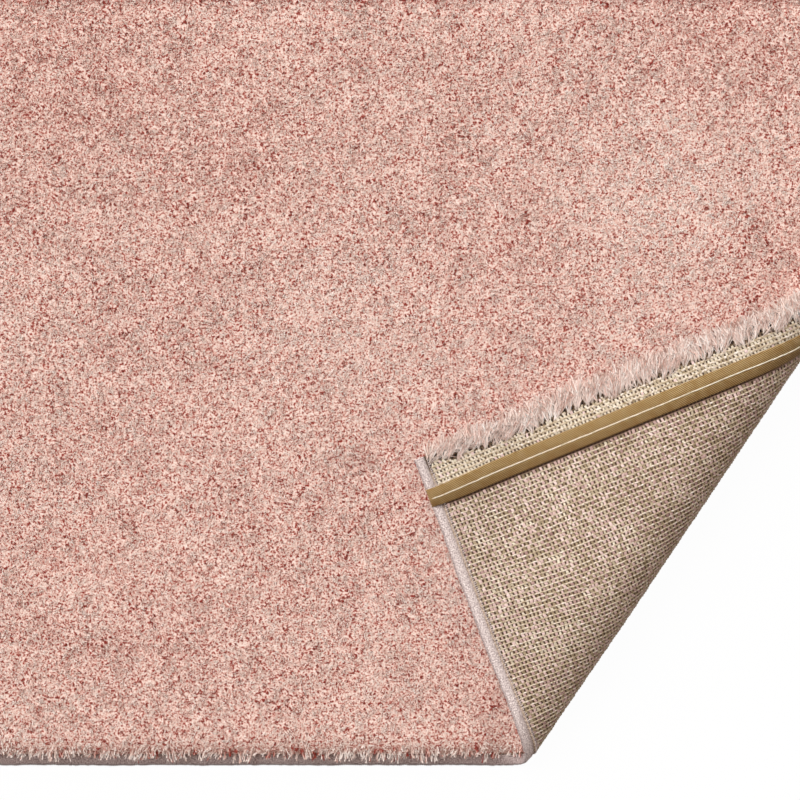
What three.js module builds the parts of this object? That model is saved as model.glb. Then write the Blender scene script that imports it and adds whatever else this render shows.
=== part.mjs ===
// Short pile rug lying on the floor with one corner folded over, so that its woven back shows there.
// Millimetres, +Z up. The origin is on the floor under the middle of the rug.
//
// The rug is first laid out flat: x runs along its length, y across it, and depth is measured from
// the woven back (0) up through the ground and the pile. place() then takes a point of the flat rug
// to where it lies, rolling the corner up and over an axis that crosses it on the bias.
import * as THREE from 'three';

// ---- the flat rug ----
const LENGTH = 1480; // between the folded edges of the two hems
const WIDTH = 800; // over the overcast long edges
const GROUND = 3; // thickness of the woven ground
const PILE = 20; // standing height of the pile above the ground
const FULL = GROUND + PILE;
const GAP = 0.5; // between pieces that touch, which shrinks to about 0.2 where they bend

const HEM = { width: 42, thickness: 2, slope: 4 }; // end of the ground turned onto the back
const TAPE = { width: 21, thickness: 1.1, fromEdge: 30.5 }; // sewn over the hem's raw edge
const BINDING = { width: 9, height: 5.4 }; // overcast yarn along a long edge
const LIFT_RAMP = 50; // length over which the flat rug climbs onto its hem

// ---- the fold ----
const TIP = new THREE.Vector2(LENGTH / 2 - 350.4, -WIDTH / 2); // where the fold leaves the front edge
const FOLD_ANGLE = THREE.MathUtils.degToRad(56.5); // of the fold's line, from the length
const ALONG = new THREE.Vector2(Math.cos(FOLD_ANGLE), Math.sin(FOLD_ANGLE));
const OUT = new THREE.Vector2(ALONG.y, -ALONG.x);
// The bend is half an ellipse, which is pinched at the tip and springs up away from it.
const BEND = {
  reach: 46.5, // half width of the ellipse, across the fold
  rise: 24, // half height near the tip
  springs: 8, // more half height, gained along the fold
  springsFrom: 60,
  springsOver: 140,
  pinch: 0.39, // size of the bend at the tip, as a share of its full size
  opens: 12.3, // length over which the pinch eases
};
const LAYERS = 2 * FULL + 1.5; // height of the flap's back where it lies on the pile
const SETTLES = 140; // length over which the flap comes down to that height
const SWING = THREE.MathUtils.degToRad(0.65); // small turn of the flap in its own plane
const SHEAR = -2.4; // slip of the flap along the fold
const SQUEEZE = 0.95; // how far pile may fill the inside of the bend
const STEPS = 72; // chords that measure the ellipse

// ---- profile of the rug's edge: inset from a long edge, reach past a hem's edge, depth ----
const SELVEDGE = BINDING.width + GAP;
const EDGE_PROFILE = [
  { inset: SELVEDGE, reach: 0, depth: 0 },
  { inset: SELVEDGE, reach: 0, depth: GROUND },
  { inset: SELVEDGE, reach: 7, depth: 6.5 },
  { inset: SELVEDGE, reach: 10, depth: 13 },
  { inset: 10.5, reach: 7, depth: 20 },
  { inset: 18, reach: -4, depth: FULL },
];

// ---- spacing of the lines, all parallel to the fold, at which the cloth bends ----
// from, to: distance out from the fold's line; step: about how far apart the lines are
const BIAS_LINES = [
  { from: -1380, to: -120, step: 90 },
  { from: -120, to: -46, step: 22 },
  { from: -46, to: 82, step: 5.6 },
  { from: 82, to: 220, step: 18 },
  { from: 220, to: 290, step: 24 },
];
// the same along the fold, where only the pinch and the spring need short steps
const CROSS_LINES = [
  { from: -630, to: -30, step: 100 },
  { from: -30, to: 60, step: 12 },
  { from: 60, to: 240, step: 26 },
  { from: 240, to: 860, step: 75 },
];

const spaced = (rows) =>
  rows.flatMap(({ from, to, step }) => {
    const count = Math.round((to - from) / step);
    return Array.from({ length: count }, (_, i) => from + ((to - from) * i) / count);
  });
const biasLines = spaced(BIAS_LINES);
const crossLines = spaced(CROSS_LINES);

const biasOf = (x, y) => (x - TIP.x) * OUT.x + (y - TIP.y) * OUT.y;
const crossOf = (x, y) => (x - TIP.x) * ALONG.x + (y - TIP.y) * ALONG.y;
const { clamp, smoothstep, lerp } = THREE.MathUtils;

// Half width and half height of the bend at a distance along the fold.
function bendAt(t) {
  const past = Math.max(t, 0);
  const size = 1 - (1 - BEND.pinch) * Math.exp(-past / BEND.opens);
  const spring = smoothstep(past, BEND.springsFrom, BEND.springsFrom + BEND.springsOver);
  return { a: BEND.reach * size, b: (BEND.rise + BEND.springs * spring) * size };
}

// Angle on the half ellipse after a length s along it, or the length left over past its end.
function alongEllipse(a, b, s) {
  const turn = Math.PI / STEPS;
  let left = s;
  for (let i = 0; i < STEPS; i++) {
    const mid = (i + 0.5) * turn;
    const chord = Math.hypot(a * Math.cos(mid), b * Math.sin(mid)) * turn;
    if (left <= chord) return { angle: (i + left / chord) * turn, past: 0 };
    left -= chord;
  }
  return { angle: Math.PI, past: left };
}

// Places along the length, from the middle of the rug, where the end's back changes.
const tapeOuter = LENGTH / 2 - TAPE.fromEdge;
const tapeInner = tapeOuter - TAPE.width;
const hemStart = LENGTH / 2 - HEM.width - HEM.slope / 2;
const hemFull = hemStart + HEM.slope;
const liftStart = tapeInner - LIFT_RAMP;

// How far the flat ends are lifted, to make room under them for the hem and the tape.
const UNDER_ENDS = HEM.thickness + GAP + TAPE.thickness;
const liftAt = (x) => UNDER_ENDS * clamp((Math.abs(x) - liftStart) / LIFT_RAMP, 0, 1);

// Depth of the back: 0 over the field, and below it where the hem lies on it.
const backDepth = (x) => -HEM.thickness * clamp((Math.abs(x) - hemStart) / HEM.slope, 0, 1);

// Takes a point of the flat rug to where it lies.
function place(x, y, depth) {
  const t = crossOf(x, y);
  const q = biasOf(x, y);
  const { a, b } = bendAt(t);
  const s = q + a;
  const lift = liftAt(x) * (1 - smoothstep(s, 5, 45));
  let across = q; // place across the fold
  let height = 0;
  let inward = new THREE.Vector2(0, 1); // from the back towards the pile, across and up
  let room = lerp(SQUEEZE * b, FULL, smoothstep(-s, 0, 30)); // depth that the cloth has there
  let done = 0; // share of the bend behind this point
  if (s > 0) {
    const { angle, past } = alongEllipse(a, b, s);
    const run = a * Math.cos(angle);
    const climb = b * Math.sin(angle);
    const slope = Math.hypot(run, climb);
    inward = new THREE.Vector2(-climb / slope, run / slope);
    across = -a + a * Math.sin(angle) - past;
    height = b * (1 - Math.cos(angle));
    height = lerp(height, LAYERS, smoothstep(past, 0, SETTLES));
    room = lerp((SQUEEZE * b * slope) / a, FULL, smoothstep(past, 0, 30));
    done = smoothstep(angle / Math.PI, 0, 1);
  }
  const pileShare = Math.min(1, (room - GROUND) / PILE);
  const deep = depth <= GROUND ? depth : GROUND + (depth - GROUND) * pileShare;
  across += inward.x * deep;
  height += inward.y * deep + lift;
  const cos = Math.cos(SWING * done);
  const sin = Math.sin(SWING * done);
  const turned = -a + (across + a) * cos + t * sin;
  const shifted = -(across + a) * sin + t * cos + SHEAR * done;
  return new THREE.Vector3(
    TIP.x + shifted * ALONG.x + turned * OUT.x,
    TIP.y + shifted * ALONG.y + turned * OUT.y,
    height,
  );
}

// ---- closed surfaces, made of strips between lines of points ----
// Each point holds its flat place and the key by which a strip pairs it with the line beside it.
class Surface {
  constructor() {
    this.points = [];
    this.faces = [];
    this.known = new Map();
  }

  add(x, y, depth, key) {
    const name = [x, y, depth].map((v) => Math.round(v * 1000)).join();
    if (!this.known.has(name)) {
      this.known.set(name, this.points.length);
      this.points.push(place(x, y, depth));
    }
    return { id: this.known.get(name), key };
  }

  face(a, b, c) {
    if (a !== b && b !== c && c !== a) this.faces.push(a, b, c);
  }

  // Fills the strip between two lines, always stepping on along the one that lags. The strip
  // faces the viewer who sees the lines run to the right with first below second.
  strip(first, second) {
    let i = 0;
    let j = 0;
    while (i < first.length - 1 || j < second.length - 1) {
      const stepFirst =
        j === second.length - 1 ||
        (i < first.length - 1 && first[i + 1].key <= second[j + 1].key + 1e-6);
      const next = stepFirst ? first[i + 1] : second[j + 1];
      this.face(first[i].id, next.id, second[j].id);
      if (stepFirst) i += 1;
      else j += 1;
    }
  }

  // Closes the end of a bundle of lines.
  cap(ring) {
    for (let i = 1; i < ring.length - 1; i++) this.face(ring[0], ring[i], ring[i + 1]);
  }

  geometry() {
    const geometry = new THREE.BufferGeometry();
    const coordinates = this.points.flatMap((p) => p.toArray());
    geometry.setAttribute('position', new THREE.Float32BufferAttribute(coordinates, 3));
    geometry.setIndex(this.faces);
    geometry.computeVertexNormals();
    return geometry;
  }
}

const sorted = (values) => [...new Set(values)].sort((a, b) => a - b);
const between = (values, low, high, room) => values.filter((v) => v > low + room && v < high - room);

// Breaks along the length: of the pile and the bindings, and of the back with its hems and tapes.
const bothEnds = (places) => sorted(places.flatMap((x) => [-x, x]));
const PILE_SEAMS = bothEnds([liftStart, tapeInner]);
const BACK_SEAMS = bothEnds([liftStart, tapeInner, hemStart, hemFull, tapeOuter]);

// Where the bias lines cross a line of constant y, with some places more, sorted by x.
function crossingsAtY(lines, y, low, high, more = []) {
  const xs = lines.map((q) => TIP.x + (q - (y - TIP.y) * OUT.y) / OUT.x);
  return sorted([low, ...between(xs, low, high, 0.5), ...more, high]);
}

// The same on a line of constant x, sorted by y.
function crossingsAtX(lines, x, low, high, more = []) {
  const ys = lines.map((q) => TIP.y + (q - (x - TIP.x) * OUT.x) / OUT.y);
  return sorted([low, ...between(ys, low, high, 0.5), ...more, high]);
}

// Covers a rectangle of the flat rug with strips between bias lines.
function fillRectangle(surface, lines, box, depthOf, up) {
  const corners = [box.x0, box.x1].flatMap((x) => [box.y0, box.y1].map((y) => biasOf(x, y)));
  const low = Math.min(...corners);
  const high = Math.max(...corners);
  const rows = sorted([...lines, ...corners]).filter((q) => q >= low - 1e-9 && q <= high + 1e-9);
  const isNarrow = box.x1 - box.x0 < TAPE.width; // bends there as the tape on it does
  const cornerOf = (q) =>
    [box.x0, box.x1]
      .flatMap((x) => [box.y0, box.y1].map((y) => [x, y]))
      .find(([x, y]) => Math.abs(biasOf(x, y) - q) < 1e-9);
  const pointAt = (q, t) => [
    TIP.x + q * OUT.x + t * ALONG.x,
    TIP.y + q * OUT.y + t * ALONG.y,
  ];
  const add = (x, y) => surface.add(x, y, depthOf(x), crossOf(x, y));
  const line = (q) => {
    if (q === low || q === high) return [add(...cornerOf(q))];
    const base = pointAt(q, 0);
    const tx = [box.x0, box.x1].map((x) => (x - base[0]) / ALONG.x);
    const ty = [box.y0, box.y1].map((y) => (y - base[1]) / ALONG.y);
    const from = Math.max(tx[0], ty[0]);
    const to = Math.min(tx[1], ty[1]);
    const start = tx[0] > ty[0] ? [box.x0, pointAt(q, from)[1]] : [pointAt(q, from)[0], box.y0];
    const end = tx[1] < ty[1] ? [box.x1, pointAt(q, to)[1]] : [pointAt(q, to)[0], box.y1];
    const inner = isNarrow ? [] : between(crossLines, from, to, 4);
    return [add(...start), ...inner.map((t) => add(...pointAt(q, t))), add(...end)];
  };
  for (let i = 0; i < rows.length - 1; i++) {
    const [near, far] = [line(rows[i]), line(rows[i + 1])];
    if (up) surface.strip(far, near);
    else surface.strip(near, far);
  }
}

// ---- rug: ground, hems and pile in one piece ----
function rugGeometry() {
  const surface = new Surface();

  // each row of the profile is a loop round the rug, and the first and last are filled in
  const loopOf = ({ inset, reach, depth }, index) => {
    const [x1, y1] = [LENGTH / 2 + reach, WIDTH / 2 - inset];
    const isBack = index === 0;
    const seams = isBack ? BACK_SEAMS : PILE_SEAMS;
    const edges = [-x1, ...seams, x1];
    const isFilled = isBack || index === EDGE_PROFILE.length - 1;
    const extra = isFilled ? edges.flatMap((x) => [biasOf(x, -y1), biasOf(x, y1)]) : [];
    const lines = sorted([...biasLines, ...extra]);
    const depthOf = isBack ? backDepth : () => depth;
    if (isFilled) {
      for (let i = 0; i < edges.length - 1; i++) {
        const box = { x0: edges[i], x1: edges[i + 1], y0: -y1, y1 };
        fillRectangle(surface, lines, box, depthOf, !isBack);
      }
    }
    const alongX = (y) =>
      crossingsAtY(lines, y, -x1, x1, seams).map((x) =>
        surface.add(x, y, depthOf(x), biasOf(x, y)),
      );
    const alongY = (x) =>
      crossingsAtX(lines, x, -y1, y1).map((y) => surface.add(x, y, depthOf(x), -biasOf(x, y)));
    return { front: alongX(-y1), back: alongX(y1), right: alongY(x1), left: alongY(-x1) };
  };
  const rings = EDGE_PROFILE.map(loopOf);
  for (let i = 0; i < rings.length - 1; i++) {
    const [lower, upper] = [rings[i], rings[i + 1]];
    surface.strip(lower.front, upper.front);
    surface.strip(lower.right, upper.right);
    surface.strip(upper.back, lower.back);
    surface.strip(upper.left, lower.left);
  }
  return surface.geometry();
}

// A strip that is swept along the rug's edge: one line of points for each corner of its section.
function sweep(lines) {
  const surface = new Surface();
  const bundle = lines(surface);
  bundle.forEach((line, i) => surface.strip(bundle[(i + 1) % bundle.length], line));
  surface.cap(bundle.map((line) => line.at(-1).id));
  surface.cap(bundle.map((line) => line[0].id).reverse());
  return surface.geometry();
}

// ---- overcast binding of a long edge ----
// inset from the rug's edge, and depth as a share of the binding's height
const BINDING_SECTION = [
  { inset: 7.4, share: 0 },
  { inset: 8.8, share: 0.16 },
  { inset: 8.8, share: 0.84 },
  { inset: 7.4, share: 1 },
  { inset: 2.2, share: 1 },
  { inset: 0.4, share: 0.76 },
  { inset: 0, share: 0.45 },
  { inset: 0.4, share: 0.18 },
  { inset: 2.2, share: 0 },
];

function bindingGeometry(sign) {
  const half = LENGTH / 2;
  const depthAt = (x, share) => lerp(backDepth(x), BINDING.height, share);
  const section = sign < 0 ? BINDING_SECTION : BINDING_SECTION.toReversed();
  return sweep((surface) =>
    section.map(({ inset, share }) => {
      const y = sign * (WIDTH / 2 - inset);
      return crossingsAtY(biasLines, y, -half, half, BACK_SEAMS).map((x) =>
        surface.add(x, y, depthAt(x, share), biasOf(x, y)),
      );
    }),
  );
}

// ---- tape over the raw edge of a hem ----
function tapeGeometry(sign) {
  const places = [tapeInner, hemStart, hemFull, tapeOuter];
  const under = places.map((x) => ({ x, depth: backDepth(x) - GAP }));
  const over = under.map(({ x, depth }) => ({ x, depth: depth - TAPE.thickness })).reverse();
  const section = sign > 0 ? [...under, ...over] : [...under, ...over].reverse();
  return sweep((surface) =>
    section.map(({ x, depth }) =>
      crossingsAtX(biasLines, sign * x, -WIDTH / 2, WIDTH / 2).map((y) =>
        surface.add(sign * x, y, depth, -biasOf(sign * x, y)),
      ),
    ),
  );
}

// ---- the object ----
const materials = {
  pile: { color: '#d9a899', roughness: 0.95, metalness: 0 },
  yarn: { color: '#ddd3d3', roughness: 0.9, metalness: 0 },
  twill: { color: '#a58450', roughness: 0.85, metalness: 0 },
};

function piece(name, geometry, finish) {
  const mesh = new THREE.Mesh(geometry, new THREE.MeshStandardMaterial(materials[finish]));
  mesh.name = name;
  return mesh;
}

const rug = new THREE.Group();
rug.add(piece('rug', rugGeometry(), 'pile'));
rug.add(piece('edge_binding_front', bindingGeometry(-1), 'yarn'));
rug.add(piece('edge_binding_back', bindingGeometry(1), 'yarn'));
rug.add(piece('end_tape_right', tapeGeometry(1), 'twill'));
rug.add(piece('end_tape_left', tapeGeometry(-1), 'twill'));

export default rug;
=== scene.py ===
"""Looks of a short pile rug with one corner folded over.

The rug is worked out flat, in millimetres: x runs along its length, y across it, and depth is
measured from the woven back (0) through the ground (3) to the tips of the pile (23). place() then
takes flat points to where they lie. It is the same mapping that shaped the solids.
"""
import math

import bpy
import numpy as np
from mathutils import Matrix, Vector


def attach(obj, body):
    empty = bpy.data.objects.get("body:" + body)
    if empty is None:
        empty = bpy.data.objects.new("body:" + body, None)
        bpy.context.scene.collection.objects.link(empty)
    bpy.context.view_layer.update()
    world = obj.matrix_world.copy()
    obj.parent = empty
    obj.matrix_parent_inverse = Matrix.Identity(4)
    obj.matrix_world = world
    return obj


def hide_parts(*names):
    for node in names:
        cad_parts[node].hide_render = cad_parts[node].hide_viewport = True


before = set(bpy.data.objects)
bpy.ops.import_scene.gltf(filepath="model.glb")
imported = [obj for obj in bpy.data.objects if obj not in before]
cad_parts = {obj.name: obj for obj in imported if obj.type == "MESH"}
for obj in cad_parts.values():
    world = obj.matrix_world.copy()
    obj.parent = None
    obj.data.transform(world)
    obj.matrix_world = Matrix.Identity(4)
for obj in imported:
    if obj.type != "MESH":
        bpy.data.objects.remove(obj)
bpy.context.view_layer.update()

MM = 0.001

# ---- the flat rug ----
LENGTH = 1480  # between the folded edges of the two hems
WIDTH = 800  # over the overcast long edges
GROUND = 3  # thickness of the woven ground
PILE = 20
FULL = GROUND + PILE
GAP = 0.5
HEM_WIDTH, HEM_THICKNESS, HEM_SLOPE = 42, 2, 4
TAPE_WIDTH, TAPE_THICKNESS, TAPE_FROM_EDGE = 21, 1.1, 30.5
BINDING_WIDTH, BINDING_HEIGHT = 9, 5.4
LIFT_RAMP = 50
HALF = LENGTH / 2
SELVEDGE = WIDTH / 2 - BINDING_WIDTH - GAP  # where the ground ends and the binding starts

TAPE_OUTER = HALF - TAPE_FROM_EDGE
TAPE_INNER = TAPE_OUTER - TAPE_WIDTH
HEM_START = HALF - HEM_WIDTH - HEM_SLOPE / 2
HEM_FULL = HEM_START + HEM_SLOPE
LIFT_START = TAPE_INNER - LIFT_RAMP
UNDER_ENDS = HEM_THICKNESS + GAP + TAPE_THICKNESS
STITCH_AT = TAPE_INNER + 0.5 * TAPE_WIDTH  # where the line of stitches runs

# ---- the fold ----
TIP_X, TIP_Y = HALF - 350.4, -WIDTH / 2
FOLD = math.radians(56.5)
ALONG_X, ALONG_Y = math.cos(FOLD), math.sin(FOLD)
OUT_X, OUT_Y = ALONG_Y, -ALONG_X
REACH, RISE, SPRINGS, SPRINGS_FROM, SPRINGS_OVER, PINCH, OPENS = 46.5, 24, 8, 60, 140, 0.39, 12.3
LAYERS = 2 * FULL + 1.5
SETTLES = 140
SWING = math.radians(0.65)
SHEAR = -2.4
SQUEEZE = 0.95

# ---- the yarns ----
ROW = 4.43  # from one weft to the next, along the rug
COLUMN = 3.73  # from one knot to the next, across it


def smoothstep(value, low, high):
    """0 below low, 1 above high, and 3s^2 - 2s^3 of the share s between them."""
    share = np.clip((value - low) / (high - low), 0, 1)
    return share * share * (3 - 2 * share)


def blend(start, end, share):
    """The value at a share of the way from start to end."""
    return start + (end - start) * share


def unit(vectors):
    """The vectors, each divided by its length."""
    return vectors / np.linalg.norm(vectors, axis=-1, keepdims=True)


# ---- arc length of a half ellipse whose half width is 1, for a range of half heights ----
RATIOS = np.linspace(0.45, 0.75, 31)
ANGLES = np.linspace(0, math.pi, 361)
ARC_STEPS = np.linspace(0, 2.9, 581)


def arc_tables():
    """The arc's length is the running sum of hypot(cos, ratio sin); the table turns it round, to
    give the angle that a length reaches."""
    mid = (ANGLES[1:] + ANGLES[:-1]) / 2
    chords = np.hypot(np.cos(mid), RATIOS[:, None] * np.sin(mid)) * (ANGLES[1] - ANGLES[0])
    lengths = np.concatenate([np.zeros((len(RATIOS), 1)), np.cumsum(chords, axis=1)], axis=1)
    angles = np.array([np.interp(ARC_STEPS, row, ANGLES) for row in lengths])
    return angles, lengths[:, -1]


ANGLE_TABLE, WHOLE_ARC = arc_tables()


def along_ellipse(a, b, s):
    """Angle on the half ellipse after a length s along it, and the length left over past its end,
    blended between the four nearest values of the table."""
    ratio = b / a
    whole = a * np.interp(ratio, RATIOS, WHOLE_ARC)
    i = np.clip((ratio - RATIOS[0]) / (RATIOS[1] - RATIOS[0]), 0, len(RATIOS) - 1.001)
    j = np.clip(np.minimum(s, whole) / a / ARC_STEPS[1], 0, len(ARC_STEPS) - 1.001)
    i0, j0 = i.astype(int), j.astype(int)
    low = blend(ANGLE_TABLE[i0, j0], ANGLE_TABLE[i0, j0 + 1], j - j0)
    high = blend(ANGLE_TABLE[i0 + 1, j0], ANGLE_TABLE[i0 + 1, j0 + 1], j - j0)
    past = np.maximum(s - whole, 0)
    return np.where(past > 0, math.pi, blend(low, high, i - i0)), past


def fold_coordinates(x, y):
    """Distance along the fold's line from its tip, and out from it towards the corner."""
    along = (x - TIP_X) * ALONG_X + (y - TIP_Y) * ALONG_Y
    out = (x - TIP_X) * OUT_X + (y - TIP_Y) * OUT_Y
    return along, out


def bend_at(t):
    """Half width and half height of the bend: pinched at the tip, springing up away from it."""
    past = np.maximum(t, 0)
    size = 1 - (1 - PINCH) * np.exp(-past / OPENS)
    spring = smoothstep(past, SPRINGS_FROM, SPRINGS_FROM + SPRINGS_OVER)
    return REACH * size, (RISE + SPRINGS * spring) * size


def lift_at(x):
    """The flat ends are lifted by what lies under them."""
    return UNDER_ENDS * np.clip((np.abs(x) - LIFT_START) / LIFT_RAMP, 0, 1)


def back_depth(x):
    """Depth of the back: 0 over the field, and lower by a hem's thickness at the ends."""
    return -HEM_THICKNESS * np.clip((np.abs(x) - HEM_START) / HEM_SLOPE, 0, 1)


def place(x, y, depth):
    """Takes points of the flat rug to where they lie. Up to the fold the cloth stays flat; past it,
    it climbs round a half ellipse, and then runs back over itself, turned and slipped a little.
    Depth is laid off at right angles to the cloth, with the pile squeezed where the bend has no
    room for it."""
    x, y, depth = np.broadcast_arrays(np.asarray(x, float), y, depth)
    t, q = fold_coordinates(x, y)
    a, b = bend_at(t)
    s = q + a
    folded = s > 0
    angle, past = along_ellipse(a, b, np.maximum(s, 0))
    run, climb = a * np.cos(angle), b * np.sin(angle)
    slope = np.hypot(run, climb)
    across = np.where(folded, -a + a * np.sin(angle) - past, q)
    height = np.where(folded, b * (1 - np.cos(angle)), 0)
    height = np.where(folded, blend(height, LAYERS, smoothstep(past, 0, SETTLES)), 0)
    inward_x = np.where(folded, -climb / slope, 0)
    inward_z = np.where(folded, run / slope, 1)
    room_before = blend(SQUEEZE * b, FULL, smoothstep(-s, 0, 30))
    room_after = blend(SQUEEZE * b * slope / a, FULL, smoothstep(past, 0, 30))
    room = np.where(folded, room_after, room_before)
    share = np.minimum(1, (room - GROUND) / PILE)
    deep = np.where(depth <= GROUND, depth, GROUND + (depth - GROUND) * share)
    across = across + inward_x * deep
    height = height + inward_z * deep + lift_at(x) * (1 - smoothstep(s, 5, 45))
    done = np.where(folded, smoothstep(angle / math.pi, 0, 1), 0)
    cos, sin = np.cos(SWING * done), np.sin(SWING * done)
    turned = -a + (across + a) * cos + t * sin
    shifted = -(across + a) * sin + t * cos + SHEAR * done
    return np.stack([
        TIP_X + shifted * ALONG_X + turned * OUT_X,
        TIP_Y + shifted * ALONG_Y + turned * OUT_Y,
        height,
    ], axis=-1)


def smooth_noise(x, y, size, seed):
    """Random values from -1 to 1 on a lattice of the given spacing, blended by smooth steps."""
    table = np.random.default_rng(seed).uniform(-1, 1, (256, 256))
    u, v = np.asarray(x) / size + 1000, np.asarray(y) / size + 1000
    i, j = np.floor(u).astype(int), np.floor(v).astype(int)
    fu, fv = smoothstep(u - i, 0, 1), smoothstep(v - j, 0, 1)
    at = lambda di, dj: table[(i + di) % 256, (j + dj) % 256]
    return blend(blend(at(0, 0), at(1, 0), fu), blend(at(0, 1), at(1, 1), fu), fv)


# ---- meshes ----
def mesh_piece(name, points, faces, material, maps=None, normals=None):
    """Makes one smooth mesh from points in millimetres and rows of corner indices. Nothing is
    pressed into the floor. Each map gives a u and a v for each corner of each face, and the normals
    are one for each point."""
    points = points.copy()
    points[:, 2] = np.maximum(points[:, 2], 0.05)
    mesh = bpy.data.meshes.new(name)
    mesh.vertices.add(len(points))
    mesh.vertices.foreach_set("co", (points * MM).astype(np.float32).ravel())
    mesh.loops.add(faces.size)
    mesh.loops.foreach_set("vertex_index", faces.astype(np.int32).ravel())
    mesh.polygons.add(len(faces))
    mesh.polygons.foreach_set("loop_start", np.arange(0, faces.size, faces.shape[1], dtype=np.int32))
    mesh.polygons.foreach_set("use_smooth", np.ones(len(faces), bool))
    for title, corners in (maps or {}).items():
        layer = mesh.uv_layers.new(name=title)
        layer.uv.foreach_set("vector", corners.astype(np.float32).ravel())
    mesh.update(calc_edges=True)
    if normals is not None:
        own = mesh.attributes.new("custom_normal", "FLOAT_VECTOR", "POINT")
        own.data.foreach_set("vector", normals.astype(np.float32).ravel())
    mesh.materials.append(material)
    piece = bpy.data.objects.new(name, mesh)
    bpy.context.scene.collection.objects.link(piece)
    return piece


def tube_corners(stations, around):
    """Stations and places round of the corners of a closed tube's quads. The place round runs on
    past the last one, for the maps. Each end is closed by quads across it, from its first
    points to its last."""
    i, j = np.meshgrid(np.arange(stations - 1), np.arange(around), indexing="ij")
    sides = np.stack([
        np.stack([i, i + 1, i + 1, i], axis=-1),
        np.stack([j, j, j + 1, j + 1], axis=-1),
    ], axis=-1).reshape(-1, 4, 2)
    k = np.arange(around // 2 - 1)
    across = np.stack([k, k + 1, around - 2 - k, around - 1 - k], axis=-1)
    first = np.stack([np.zeros_like(across), across], axis=-1)
    last = np.stack([np.full_like(across, stations - 1), across], axis=-1)[:, ::-1]
    return np.concatenate([sides, first, last])


def tubes(points):
    """Points (copies, stations, around, 3) and the quads of as many closed tubes."""
    copies, stations, around, _ = points.shape
    corners = tube_corners(stations, around)
    faces = corners[..., 0] * around + corners[..., 1] % around
    offsets = np.arange(copies)[:, None, None] * stations * around
    return points.reshape(-1, 3), (faces + offsets).reshape(-1, 4), corners


def grid_faces(count, rows, columns):
    """The quads of as many grids, of rows by columns points each."""
    i, j = np.meshgrid(range(rows - 1), range(columns - 1), indexing="ij")
    first = (i * columns + j).ravel()
    faces = np.stack([first, first + 1, first + columns + 1, first + columns], axis=-1)
    return (faces + (np.arange(count) * rows * columns)[:, None, None]).reshape(-1, 4)


def banded_atlas(stations, around, bands):
    """A long strip is cut into bands that lie side by side up the map. The strip's length runs
    across each band, and the way round its section runs up it."""
    def atlas(corners):
        u = corners[..., 0] / (stations - 1)
        band = np.minimum(np.floor(u.min(axis=1, keepdims=True) * bands), bands - 1)
        v = (band + 0.05 + 0.9 * corners[..., 1] / around) / bands
        return np.stack([0.005 + 0.98 * (u * bands - band), v], axis=-1)

    return atlas


def facing_out(points, faces):
    """Turns the faces round if the volume that they close comes out negative."""
    a, b, c, d = (points[faces[:, i]] for i in range(4))
    volume = (np.cross(b - a, c - a) * a).sum() + (np.cross(c - a, d - a) * a).sum()
    return volume > 0


def closed_strip(name, x, y, depth, material, atlas):
    """A closed strip: a loop of points round its section at each station, given as three arrays of
    one shape (stations, around). Map flat holds x and y of the flat rug in metres."""
    points, faces, corners = tubes(place(x, y, depth)[None])
    flat = np.stack([x, y], axis=-1) * MM
    flat = np.concatenate([flat, flat[:, :1]], axis=1)[corners[..., 0], corners[..., 1]]
    bake = atlas(corners)
    if not facing_out(points, faces):
        faces, flat, bake = faces[:, ::-1], flat[:, ::-1], bake[:, ::-1]
    return mesh_piece(name, points, faces, material, {"flat": flat, "OFBake": bake})


# ---- materials ----
def srgb(code):
    """A colour written as an sRGB hex value, in linear light."""
    parts = [int(code[i:i + 2], 16) / 255 for i in (1, 3, 5)]
    return [p / 12.92 if p <= 0.04045 else ((p + 0.055) / 1.055) ** 2.4 for p in parts] + [1]


def add_node(tree, kind, inputs=None, stops=None, **settings):
    """Adds a node with its settings, fills a colour ramp's stops, and sets its inputs, each of
    which is a value, a socket, or a node whose first output is meant."""
    made = tree.nodes.new("ShaderNode" + kind)
    for key, value in settings.items():
        setattr(made, key, value)
    for i, (position, colour) in enumerate(stops or []):
        element = made.color_ramp.elements[i] if i < 2 else made.color_ramp.elements.new(position)
        element.position = position
        element.color = srgb(colour)
    for key, value in (inputs or {}).items():
        if isinstance(value, bpy.types.Node):
            value = value.outputs[0]
        if isinstance(value, bpy.types.NodeSocket):
            tree.links.new(value, made.inputs[key])
        else:
            made.inputs[key].default_value = value
    return made


def new_material(name, **constants):
    """An empty material with its Principled shader, whose constants are set on its own sockets."""
    material = bpy.data.materials.new(name)
    material.use_nodes = True
    tree = material.node_tree
    shader = tree.nodes["Principled BSDF"]
    for key, value in constants.items():
        shader.inputs[key.replace("_", " ")].default_value = value
    return material, tree


def coloured(material, colour, relief=None, rise=0):
    """Gives a material its colour, and a relief that rises by so many millimetres."""
    tree = material.node_tree
    shader = tree.nodes["Principled BSDF"]
    tree.links.new(colour, shader.inputs["Base Color"])
    if relief is not None:
        bump = add_node(tree, "Bump", {"Height": relief, "Distance": rise * MM, "Strength": 0.8})
        tree.links.new(bump.outputs[0], shader.inputs["Normal"])
    return material


def mottled_material(name, roughness, size, detail, stops):
    """Plain fibre, mottled by noise of the given size in millimetres."""
    material, tree = new_material(name, Roughness=roughness)
    place_of = add_node(tree, "TexCoord").outputs["Object"]
    noise = add_node(tree, "TexNoise", {"Vector": place_of, "Scale": 1 / (size * MM), "Detail": detail})
    return coloured(material, add_node(tree, "ValToRGB", {0: noise}, stops).outputs[0])


def tone_and_height(tree):
    """Fibres and knots carry their tone across their map, from 0 to 1, and their height up it."""
    own = add_node(tree, "UVMap", uv_map="OFBake")
    parts = add_node(tree, "SeparateXYZ", {0: own})
    return parts.outputs[0], parts.outputs[1]


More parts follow.
